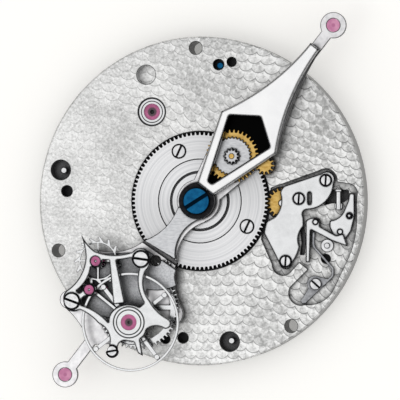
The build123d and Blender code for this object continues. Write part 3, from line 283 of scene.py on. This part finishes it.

    # the rim of the spot on top stands out as a thin dark arc, which fades in places, and is drawn stronger
    # towards the right, where the light grazes it: painted shade
    rimLine = addNode(tree, "ShaderNodeMapRange",
                      {"From Min": look["arcFrom"], "From Max": look["arcTo"], "To Max": look["arcStrength"]},
                      {"Value": upperReach.outputs["Value"]})
    arc = addNode(tree, "ShaderNodeMath", {"operation": "MULTIPLY"},
                  {0: rimLine.outputs[0], 1: useUpper.outputs[0]})
    fade = addNode(tree, "ShaderNodeMapRange",
                   {"From Min": look["arcFadesBelow"], "From Max": look["arcFullAbove"]},
                   {"Value": cloud.outputs["Fac"]})
    arcHere = addNode(tree, "ShaderNodeMath", {"operation": "MULTIPLY"},
                      {0: arc.outputs[0], 1: fade.outputs[0]})
    arcGrazed = addNode(tree, "ShaderNodeMath", {"operation": "MULTIPLY"},
                        {0: arcHere.outputs[0], 1: grazed.outputs[0]})
    pearled = addNode(tree, "ShaderNodeMix", {"data_type": "RGBA", 7: toLinear(look["arcColour"])},
                      {0: arcGrazed.outputs[0], 6: ground.outputs[2]})

    # milled pockets are painted darker below the plate's top, as painted shade in the recesses, all but one,
    # which keeps the plate's bright colour and is kept clear of the painted gap shade
    deep = addNode(tree, "ShaderNodeMath", {"operation": "LESS_THAN", 1: look["pocketShadeBelow"] * millimetre},
                   {0: onPlate.outputs["Z"]})
    pocketX, pocketY = look["palePocket"]
    onPlan = addNode(tree, "ShaderNodeVectorMath", {"operation": "MULTIPLY", 1: (1, 1, 0)},
                     {0: place.outputs["Object"]})
    fromPocket = addNode(tree, "ShaderNodeVectorMath",
                         {"operation": "DISTANCE", 1: (pocketX * millimetre, pocketY * millimetre, 0)},
                         {0: onPlan.outputs[0]})
    elsewhere = addNode(tree, "ShaderNodeMath",
                        {"operation": "GREATER_THAN", 1: look["palePocketSize"] * millimetre},
                        {0: fromPocket.outputs["Value"]})
    dark = addNode(tree, "ShaderNodeMath", {"operation": "MULTIPLY"},
                   {0: deep.outputs[0], 1: elsewhere.outputs[0]})
    finished = addNode(tree, "ShaderNodeMix", {"data_type": "RGBA", 7: toLinear(look["pocketShadeColour"])},
                       {0: dark.outputs[0], 6: pearled.outputs[2]})
    atPocket = addNode(tree, "ShaderNodeMath", {"operation": "SUBTRACT", 0: 1.0}, {1: elsewhere.outputs[0]})
    paintedShadeAndGrainBump(tree, shader, look, finished.outputs[2], grain.outputs["Fac"], atPocket.outputs[0])
    return material


wear(["main_plate"], pearledPlate())
print("plate finished")


def shareOfRadius(tree, place):
    # distance from a round part's own middle, as a share of its radius
    fromMiddle = addNode(tree, "ShaderNodeVectorMath", {"operation": "SUBTRACT", 1: (0.5, 0.5, 0.5)},
                         {0: place.outputs["Generated"]})
    plan = addNode(tree, "ShaderNodeVectorMath", {"operation": "MULTIPLY", 1: (2, 2, 0)},
                   {0: fromMiddle.outputs[0]})
    out = addNode(tree, "ShaderNodeVectorMath", {"operation": "LENGTH"}, {0: plan.outputs[0]})
    return out.outputs["Value"]


# What the plain metal finishes share. A grain finer than a picture point is drawn coarser, so that it still
# shows as a soft sheen
metalLook = {
    **edgeLook,
    "stretch": (1, 1, 1),
    "streaksBelow": 0.3,
    "streaksAbove": 0.62,
    "dullest": 1.3,
    "glossiest": 0.8,
    "lineHalf": 0.02,
    "lineSoft": 0.05,
    "stepShadeRings": (),
}


def finishedMetal(name, look):
    material, tree, shader = newMaterial(name, look)
    place = addNode(tree, "ShaderNodeTexCoord")
    laid = addNode(tree, "ShaderNodeMapping", {"Scale": look["stretch"]}, {"Vector": place.outputs["Object"]})
    grain = addNode(tree, "ShaderNodeTexNoise", {"Scale": perMillimetre(look["grainSize"]), "Detail": 3.0},
                    {"Vector": laid.outputs[0]})
    tone = addNode(tree, "ShaderNodeMapRange",
                   {"From Min": look["streaksBelow"], "From Max": look["streaksAbove"]},
                   {"Value": grain.outputs["Fac"]})
    mixed = addNode(tree, "ShaderNodeMix",
                    {"data_type": "RGBA", 6: toLinear(look["streakColour"]), 7: toLinear(look["colour"])},
                    {0: tone.outputs[0]})
    gloss = addNode(tree, "ShaderNodeMapRange",
                    {"To Min": look["roughness"] * look["dullest"],
                     "To Max": look["roughness"] * look["glossiest"]},
                    {"Value": grain.outputs["Fac"]})
    tree.links.new(gloss.outputs[0], shader.inputs["Roughness"])
    colourSource = mixed.outputs[2]
    if look["stepShadeRings"]:
        radius = shareOfRadius(tree, place)
    for share in look["stepShadeRings"]:
        # the shade of a step turned round the jewel is painted as a dark line
        beside = addNode(tree, "ShaderNodeMath", {"operation": "SUBTRACT", 1: share}, {0: radius})
        away = addNode(tree, "ShaderNodeMath", {"operation": "ABSOLUTE"}, {0: beside.outputs[0]})
        clear = addNode(tree, "ShaderNodeMapRange",
                        {"From Min": look["lineHalf"], "From Max": look["lineSoft"]},
                        {"Value": away.outputs[0]})
        lined = addNode(tree, "ShaderNodeMix", {"data_type": "RGBA", 6: toLinear(look["paintedShadeColour"])},
                        {0: clear.outputs[0], 7: colourSource})
        colourSource = lined.outputs[2]
    paintedShadeAndGrainBump(tree, shader, look, colourSource, grain.outputs["Fac"])
    return material


# straight-grained steel, softly bright along its grain
satinLook = {
    **metalLook,
    "colour": "#CFD0D2",
    "streakColour": "#B6B7BA",
    "paintedShadeColour": "#161618",
    "roughness": 0.30,
    "grainSize": 0.16,
    "stretch": (0.3, 1.0, 1.0),
    "grainDepth": 0.05,
    "edgeShadeReach": 0.10,
    "wallShade": 0.85,
}
wear(["hand_tail", "hand_steel_wheel"], finishedMetal("satinSteel", satinLook))

# plated and lightly lapped steel, a touch paler and cloudier than bare steel
armLook = {
    **metalLook,
    "colour": "#E8E7E8",
    "streakColour": "#D0CFD1",
    "paintedShadeColour": "#1A1A1B",
    "roughness": 0.30,
    "grainSize": 0.5,
    "grainDepth": 0.04,
    "edgeShadeReach": 0.10,
    "wallShade": 0.9,
}
wear(["carousel_arm"], finishedMetal("platedArmSteel", armLook))

# sand-frosted and plated brass, matt grey, with painted shade that reaches far into its depths
frostedLook = {
    **metalLook,
    "colour": "#C9CACC",
    "streakColour": "#ABACAF",
    "paintedShadeColour": "#1F1F20",
    "roughness": 0.36,
    "grainSize": 0.18,
    "grainDepth": 0.20,
    "edgeShadeReach": 0.14,
    "wallShade": 0.85,
    "gapReach": 2.2,
    "gapStart": 0.42,
}
wear(["escapement_plate", "back_cover"], finishedMetal("frostedRhodiumBrass", frostedLook))

# steel lapped on tin to a black polish: its top is all white or all black, and its bevels are painted as sharp
# dark lines, a painted reflection of the dark room
coverLook = {
    **metalLook,
    "colour": "#FDFDFD",
    "streakColour": "#F6F6F7",
    "paintedShadeColour": "#101012",
    "roughness": 0.09,
    "grainSize": 2.0,
    "grainDepth": 0.01,
    "edgeShadeReach": 0.26,
    "edgeShadeStart": 0.85,
    "edgeShadeEnd": 0.94,
    "wallShade": 0.97,
}
wear(["hand_cover"], finishedMetal("blackPolishedSteel", coverLook))

# flat-polished steel with bright, slightly uneven tops
polishedLook = {
    **metalLook,
    "colour": "#EAEBEC",
    "streakColour": "#DDDEDF",
    "paintedShadeColour": "#151517",
    "roughness": 0.16,
    "grainSize": 0.9,
    "grainDepth": 0.02,
    "edgeShadeReach": 0.20,
    "wallShade": 0.6,
    "gapReach": 0.6,
}
wear(["setting_bridge", "rocker_lever", "index_lever", "centre_arbor", "balance_bridge"],
     finishedMetal("polishedSteel", polishedLook))

# thin parts are worn like the polished ones, with painted edge shade as wide as their thickness allows
fineSteelLook = {**polishedLook, "edgeShadeReach": 0.05, "wallShade": 0.8, "gapReach": 0.35}
wear(["train_studs", "pallet_fork", "lower_pillars", "upper_pillars", "balance_wheel", "balance_staff",
      "roller", "balance_weights", "drive_pinion", "idler_pinion", "escape_wheel", "large_wheel"],
     finishedMetal("finePolishedSteel", fineSteelLook))

# the settings are turned in steps, whose shade is painted as dark rings round the jewel
jewelSettingLook = {
    **polishedLook,
    "edgeShadeReach": 0.012,
    "wallShade": 0.9,
    "gapReach": 0.25,
    "stepShadeRings": (0.96, 0.77),
}
wear(["plate_jewel_setting", "balance_jewel_setting"], finishedMetal("jewelSettingSteel", jewelSettingLook))

# screw heads and pins, polished on a flat block, their slots darkened by painted shade
screwLook = {
    **metalLook,
    "colour": "#EDEDEE",
    "streakColour": "#D0D1D3",
    "paintedShadeColour": "#0C0C0E",
    "roughness": 0.14,
    "grainSize": 0.6,
    "grainDepth": 0.02,
    "edgeShadeReach": 0.09,
    "wallShade": 0.95,
    "gapReach": 0.14,
    "gapStart": 0.3,
}
wear(["back_cover_screws", "sunk_pins", "centre_wheel_screws", "setting_stud", "setting_bridge_screws",
      "lever_posts", "lever_spring_screw", "balance_bridge_screws", "adjusting_screw"],
     finishedMetal("polishedScrewSteel", screwLook))

# brass under a thin gilding, warm yellow with a faint brushed grain
brassLook = {
    **metalLook,
    "colour": "#D8B56C",
    "streakColour": "#B9934A",
    "paintedShadeColour": "#4A3614",
    "roughness": 0.24,
    "grainSize": 0.25,
    "stretch": (0.5, 1, 1),
    "grainDepth": 0.06,
    "edgeShadeReach": 0.06,
    "wallShade": 0.8,
    "gapReach": 0.6,
}
wear(["barrel_drum", "barrel_lid", "setting_wheel", "hand_wheel", "hand_stud", "hand_drive_pinion"],
     finishedMetal("giltBrass", brassLook))

# polished steel, heated until its oxide turns deep blue
bluedLook = {
    **metalLook,
    "colour": "#19638F",
    "streakColour": "#104A73",
    "paintedShadeColour": "#041320",
    "roughness": 0.18,
    "grainSize": 0.7,
    "grainDepth": 0.03,
    "edgeShadeReach": 0.12,
    "wallShade": 0.95,
}
wear(["blued_pin", "centre_screw"], finishedMetal("heatBluedSteel", bluedLook))

# nearly black steel with a dull shine, worn by the collar under the centre screw and by a dark sheet in the
# hand's window, which is painted shade where the window lies in shadow
darkLook = {
    **metalLook,
    "colour": "#242426",
    "streakColour": "#161617",
    "paintedShadeColour": "#060606",
    "roughness": 0.30,
    "grainSize": 0.4,
    "grainDepth": 0.10,
    "edgeShadeReach": 0.05,
    "wallShade": 0.5,
}
wear(["centre_collar", "hand_well"], finishedMetal("darkSteelAndShadeSheet", darkLook))

# tempered spring strip, greyer than the polished parts
springLook = {
    **metalLook,
    "colour": "#A6A7AA",
    "streakColour": "#7C7D81",
    "paintedShadeColour": "#1C1C1E",
    "roughness": 0.24,
    "grainSize": 0.4,
    "grainDepth": 0.05,
    "edgeShadeReach": 0.06,
    "wallShade": 0.9,
}
wear(["mainspring", "lever_spring", "hairspring"], finishedMetal("springSteel", springLook))


wheelLook = {
    **edgeLook,
    "colour": "#DBDBDC",
    "streakColour": "#C2C3C5",
    "paintedShadeColour": "#0F0F11",
    "roughness": 0.30,
    "ringSize": 0.24,
    "ringsBelow": 0.25,
    "ringsAbove": 0.6,
    "grainDepth": 0.01,
    "edgeShadeReach": 0.045,
    "wallShade": 0.9,
    "gapReach": 0.3,
    "sheen": 0.7,
}
# the thicker hub takes a wider painted edge shade on each of its steps
hubLook = {**wheelLook, "edgeShadeReach": 0.12}


def turnedSteel(name, look):
    # hardened steel, finished on a turntable: the rings throw the light back in soft fans about the axis.
    # They are drawn coarser than the real ones, which are too fine to show
    material, tree, shader = newMaterial(name, look)
    place = addNode(tree, "ShaderNodeTexCoord")
    plan = addNode(tree, "ShaderNodeVectorMath", {"operation": "MULTIPLY", 1: (1, 1, 0)},
                   {0: place.outputs["Object"]})
    out = addNode(tree, "ShaderNodeVectorMath", {"operation": "LENGTH"}, {0: plan.outputs[0]})
    step = addNode(tree, "ShaderNodeMath", {"operation": "MULTIPLY", 1: perMillimetre(look["ringSize"])},
                   {0: out.outputs["Value"]})
    rings = addNode(tree, "ShaderNodeTexNoise",
                    {"noise_dimensions": "1D", "Scale": 1.0, "Detail": 3.0, "Roughness": 0.7},
                    {"W": step.outputs[0]})
    tone = addNode(tree, "ShaderNodeMapRange", {"From Min": look["ringsBelow"], "From Max": look["ringsAbove"]},
                   {"Value": rings.outputs["Fac"]})
    mixed = addNode(tree, "ShaderNodeMix",
                    {"data_type": "RGBA", 6: toLinear(look["streakColour"]), 7: toLinear(look["colour"])},
                    {0: tone.outputs[0]})
    paintedShadeAndGrainBump(tree, shader, look, mixed.outputs[2], rings.outputs["Fac"])
    around = addNode(tree, "ShaderNodeTangent", {"direction_type": "RADIAL", "axis": "Z"})
    tree.links.new(around.outputs[0], shader.inputs["Tangent"])
    shader.inputs["Anisotropic"].default_value = look["sheen"]
    return material


wear(["centre_wheel"], turnedSteel("circularSatinSteel", wheelLook))
wear(["centre_hub"], turnedSteel("circularSatinHubSteel", hubLook))
print("metals finished")


deepRubyLook = {
    "colour": "#D0609B",
    "deepColour": "#B2427E",
    "cupShadeColour": "#3C0A26",
    "middleShare": 0.52,
    "cupEdge": (0.1, 0.06),
    "cloudSize": 0.8,
    "cloudsBelow": 0.35,
    "cloudsAbove": 0.65,
    "metallic": 0.0,
    "roughness": 0.05,
    "ior": 1.77,
    "clearness": 0.1,
}
palePinkLook = {
    **deepRubyLook,
    "colour": "#E79AC0",
    "deepColour": "#D078A6",
    "cupShadeColour": "#C36A99",
    "middleShare": 0.3,
}


def syntheticRuby(name, look):
    # flame-grown corundum: clear pink-red with a hard gloss and a little unevenness from the boule
    material, tree, shader = newMaterial(name, look)
    shader.inputs["IOR"].default_value = look["ior"]
    shader.inputs["Transmission Weight"].default_value = look["clearness"]
    place = addNode(tree, "ShaderNodeTexCoord")
    cloud = addNode(tree, "ShaderNodeTexNoise", {"Scale": perMillimetre(look["cloudSize"]), "Detail": 2.0},
                    {"Vector": place.outputs["Object"]})
    tone = addNode(tree, "ShaderNodeMapRange",
                   {"From Min": look["cloudsBelow"], "From Max": look["cloudsAbove"]},
                   {"Value": cloud.outputs["Fac"]})
    mixed = addNode(tree, "ShaderNodeMix",
                    {"data_type": "RGBA", 6: toLinear(look["deepColour"]), 7: toLinear(look["colour"])},
                    {0: tone.outputs[0]})
    # the polished oil cup round the hole looks down into the dark, painted as a dark middle: painted shade
    inner, outer = look["cupEdge"]
    rim = addNode(tree, "ShaderNodeMapRange",
                  {"From Min": look["middleShare"] - inner, "From Max": look["middleShare"] + outer},
                  {"Value": shareOfRadius(tree, place)})
    cupped = addNode(tree, "ShaderNodeMix", {"data_type": "RGBA", 6: toLinear(look["cupShadeColour"])},
                     {0: rim.outputs[0], 7: mixed.outputs[2]})
    tree.links.new(cupped.outputs[2], shader.inputs["Base Color"])
    return material


wear(["hand_ruby", "tail_ruby"], syntheticRuby("palePinkRuby", palePinkLook))
wear(["plate_jewel", "pallet_stones", "bridge_jewels", "balance_jewel"],
     syntheticRuby("deepPinkRuby", deepRubyLook))
print("jewels finished")


stageLook = {
    "colour": "#ECEBE8",
    "metallic": 0.0,
    "roughness": 0.9,
    "fibreSize": 0.8,
    "fibreDepth": 0.05,
    "floorGlow": 0.38,
    "floorSize": 1.2,
    "backdropColour": "#F8F8F8",
    "skyTop": 0.97,
    "skySide": 0.42,
    "sideBelow": 0.15,
    "topAbove": 0.92,
    "lampPower": 0.86,
    "lampSize": 0.5,
    "lampDistance": 1.2,
    "lampAzimuth": -60,
    "lampElevation": 62,
}


def seenDirectly(tree):
    # the rays that look at the background: those of the camera, and those through glass or off a gloss
    ray = addNode(tree, "ShaderNodeLightPath")
    seen = addNode(tree, "ShaderNodeMath", {"operation": "MAXIMUM"},
                   {0: ray.outputs["Is Camera Ray"], 1: ray.outputs["Is Transmission Ray"]})
    seenToo = addNode(tree, "ShaderNodeMath", {"operation": "MAXIMUM"},
                      {0: seen.outputs[0], 1: ray.outputs["Is Glossy Ray"]})
    return seenToo.outputs[0]


def makeFloor():
    bpy.ops.mesh.primitive_plane_add(size=stageLook["floorSize"], location=(0, 0, cadLow.z))
    floor = bpy.context.object
    floor.name = "floor"
    material, tree, shader = newMaterial("palePaper", stageLook)
    place = addNode(tree, "ShaderNodeTexCoord")
    fibre = addNode(tree, "ShaderNodeTexNoise", {"Scale": perMillimetre(stageLook["fibreSize"]), "Detail": 2.0},
                    {"Vector": place.outputs["Object"]})
    bump = addNode(tree, "ShaderNodeBump",
                   {"Strength": stageLook["fibreDepth"], "Distance": stageLook["fibreDepth"] * millimetre},
                   {"Height": fibre.outputs["Fac"]})
    tree.links.new(bump.outputs[0], shader.inputs["Normal"])
    # the paper is lifted towards white only where it is seen, so it lights nothing and keeps its shadow
    strength = addNode(tree, "ShaderNodeMath", {"operation": "MULTIPLY", 1: stageLook["floorGlow"]},
                       {0: seenDirectly(tree)})
    glow = addNode(tree, "ShaderNodeEmission", {"Color": toLinear(stageLook["colour"])},
                   {"Strength": strength.outputs[0]})
    both = addNode(tree, "ShaderNodeAddShader", {}, {0: shader.outputs[0], 1: glow.outputs[0]})
    output = next(n for n in tree.nodes if n.type == "OUTPUT_MATERIAL")
    tree.links.new(both.outputs[0], output.inputs["Surface"])
    floor.data.materials.append(material)


def makeSky():
    # a soft box overhead fades towards the horizon and gives the diffuse light.
    # Where the sky itself is seen, directly, through glass or in a gloss, it is a pale backdrop
    world = bpy.data.worlds.new("softStudio")
    bpy.context.scene.world = world
    world.use_nodes = True
    tree = world.node_tree
    tree.nodes.clear()
    place = addNode(tree, "ShaderNodeTexCoord")
    height = addNode(tree, "ShaderNodeSeparateXYZ", {}, {0: place.outputs["Generated"]})
    level = addNode(tree, "ShaderNodeMapRange",
                    {"From Min": stageLook["sideBelow"], "From Max": stageLook["topAbove"],
                     "To Min": stageLook["skySide"], "To Max": stageLook["skyTop"]},
                    {"Value": height.outputs["Z"]})
    light = addNode(tree, "ShaderNodeBackground", {"Color": (1, 1, 1, 1)},
                    {"Strength": level.outputs["Result"]})
    shown = addNode(tree, "ShaderNodeBackground",
                    {"Color": toLinear(stageLook["backdropColour"]), "Strength": 1.0})
    mix = addNode(tree, "ShaderNodeMixShader", {},
                  {0: seenDirectly(tree), 1: light.outputs[0], 2: shown.outputs[0]})
    addNode(tree, "ShaderNodeOutputWorld", {}, {"Surface": mix.outputs[0]})


def makeLamp():
    data = bpy.data.lights.new("keyLamp", "AREA")
    data.energy = stageLook["lampPower"]
    data.size = stageLook["lampSize"]
    lamp = bpy.data.objects.new("keyLamp", data)
    bpy.context.scene.collection.objects.link(lamp)
    azimuth = radians(stageLook["lampAzimuth"])
    elevation = radians(stageLook["lampElevation"])
    towards = Vector((cos(elevation) * sin(azimuth), -cos(elevation) * cos(azimuth), sin(elevation)))
    lamp.location = towards * stageLook["lampDistance"]
    lamp.rotation_euler = (-lamp.location).to_track_quat("-Z", "Y").to_euler()


# The photo looks almost straight down, leaning a little to the right. Lengths are in mm, the lean in degrees
photoView = {
    "lean": 9.5,
    "lens": 300.0,
    "sensorWidth": 36.0,
    "frameWidth": 42.55,
    "aim": (-0.053, 0.106, 3.4),
    "clipStart": 5.0,
    "clipEnd": 5000.0,
}


def makeCamera():
    data = bpy.data.cameras.new("photoCamera")
    data.lens = photoView["lens"]
    data.sensor_width = photoView["sensorWidth"]
    data.clip_start = photoView["clipStart"] * millimetre
    data.clip_end = photoView["clipEnd"] * millimetre
    camera = bpy.data.objects.new("photoCamera", data)
    bpy.context.scene.collection.objects.link(camera)
    away = photoView["frameWidth"] * millimetre * photoView["lens"] / photoView["sensorWidth"]
    lean = radians(photoView["lean"])
    camera.location = Vector(photoView["aim"]) * millimetre + Vector((sin(lean), 0, cos(lean))) * away
    camera.rotation_euler = Euler((0, lean, 0))
    bpy.context.scene.camera = camera


makeFloor()
makeSky()
makeLamp()
makeCamera()
bpy.context.scene.view_settings.view_transform = "Standard"
print("stage, light and camera set")
